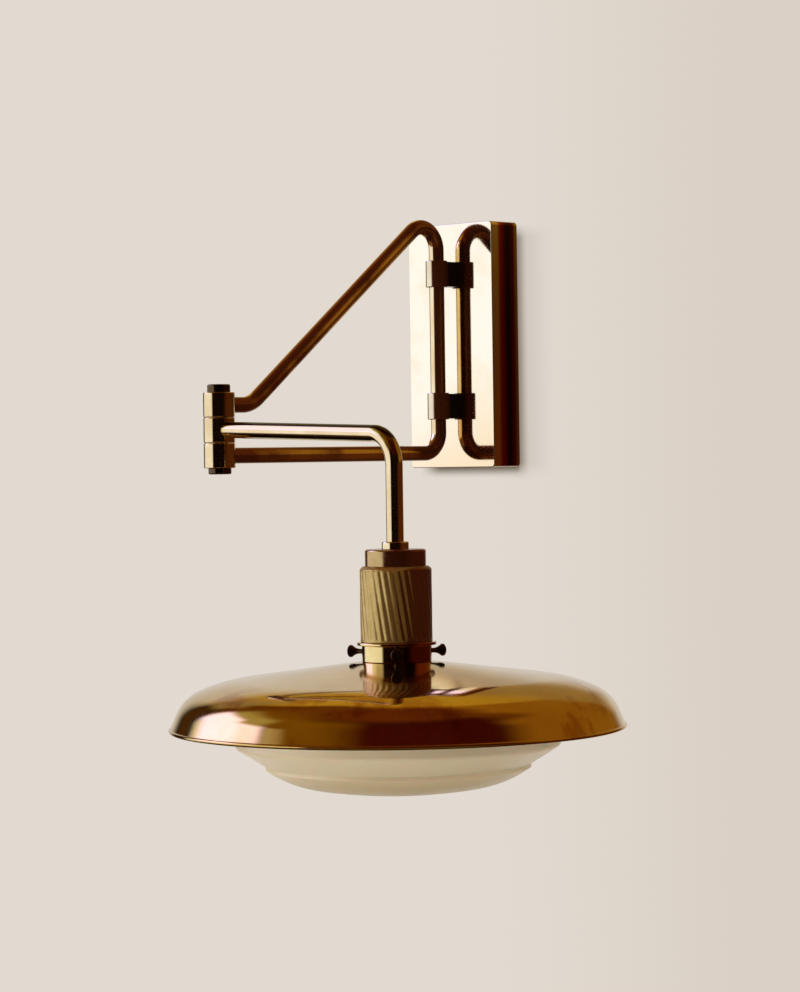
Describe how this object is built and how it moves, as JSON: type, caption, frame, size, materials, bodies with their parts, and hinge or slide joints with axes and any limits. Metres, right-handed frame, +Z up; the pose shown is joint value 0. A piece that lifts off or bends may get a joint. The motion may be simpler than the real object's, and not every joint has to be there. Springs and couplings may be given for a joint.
{
  "type": "articulated wall lamp",
  "caption": "Articulated brass wall lamp: bent-tube arm on a wall box, elbow hinge, forearm with lampholder, spun shade and frosted glass bowl.",
  "frame": {"origin": "centre of the wall plate's back face, on the wall", "axes": "+X to the right along the wall seen from the room, +Y into the wall, +Z up"},
  "size_m": [0.3358, 0.384, 0.347],
  "materials": {
    "cover_brass": "mirror polished pale brass",
    "bracket_brass": "polished brass with a dark patina",
    "tube_brass": "polished drawn brass tube",
    "knuckle_brass": "turned and polished brass",
    "holder_brass": "satin brass with fine flutes",
    "shade_brass": "spun brass, aged golden brown",
    "screw_brass": "dark aged brass",
    "inner_brass": "plain brass",
    "steel": "zinc plated steel",
    "rubber": "matt black rubber",
    "block_plastic": "matt white plastic",
    "lead_jacket": "matt pale cable jacket",
    "porcelain": "white glazed porcelain",
    "frosted_glass": "satin frosted cream glass",
    "bulb_glass": "opal white bulb glass",
    "bulb_cap": "bright rolled metal cap"
  },
  "bodies": {
    "wall_mount": {"wall_plate": "steel", "wall_cover": "cover_brass", "cover_screws": "screw_brass", "cable_grommet": "rubber", "terminal_block": "block_plastic", "terminal_barrels": "inner_brass", "terminal_screws": "steel", "earth_screw": "inner_brass", "upper_bracket": "bracket_brass", "lower_bracket": "bracket_brass", "bracket_washers": "steel", "bracket_nuts": "steel", "bracket_grub_screws": "steel", "wall_lead": "lead_jacket"},
    "arm": {"arm_frame": "tube_brass", "upper_knuckle": "knuckle_brass", "lower_knuckle": "knuckle_brass", "upper_pivot": "knuckle_brass", "lower_pivot": "knuckle_brass", "lower_hinge_washer": "inner_brass", "arm_lead": "lead_jacket"},
    "forearm": {"middle_knuckle": "knuckle_brass", "upper_hinge_washer": "inner_brass", "forearm_tube": "tube_brass", "forearm_lead": "lead_jacket", "stem_collar": "knuckle_brass", "stem_nut": "steel", "holder_cap": "holder_brass", "holder_shell": "holder_brass", "holder_core": "porcelain", "holder_screws": "inner_brass", "holder_thread": "inner_brass", "holder_contact": "inner_brass", "gallery_ring": "knuckle_brass", "shade": "shade_brass", "glass_bowl": "frosted_glass", "glass_clips": "inner_brass", "bulb_contact": "inner_brass", "bulb_cap": "bulb_cap", "bulb_glass": "bulb_glass"},
    "thumbscrew_body_1": {"thumbscrew_1": "screw_brass"},
    "thumbscrew_body_2": {"thumbscrew_2": "screw_brass"},
    "thumbscrew_body_3": {"thumbscrew_3": "screw_brass"}
  },
  "joints": [
    {"name": "arm_swing", "type": "hinge", "parent": "wall_mount", "child": "arm", "pos_m": [0, -0.0378, 0], "axis": [0, 0, 1], "range_deg": [-90, 90]},
    {"name": "elbow_swing", "type": "hinge", "parent": "arm", "child": "forearm", "pos_m": [0, -0.2338, -0.0553], "axis": [0, 0, -1], "range_deg": [-88, 255]},
    {"name": "thumbscrew_1_travel", "type": "slide", "parent": "forearm", "child": "thumbscrew_body_1", "axis": [0.6972, -0.7169, 0], "range_m": [0, 0.004]},
    {"name": "thumbscrew_2_travel", "type": "slide", "parent": "forearm", "child": "thumbscrew_body_2", "axis": [0.2723, 0.9622, 0], "range_m": [0, 0.004]},
    {"name": "thumbscrew_3_travel", "type": "slide", "parent": "forearm", "child": "thumbscrew_body_3", "axis": [-0.9694, -0.2453, 0], "range_m": [0, 0.004]}
  ]
}
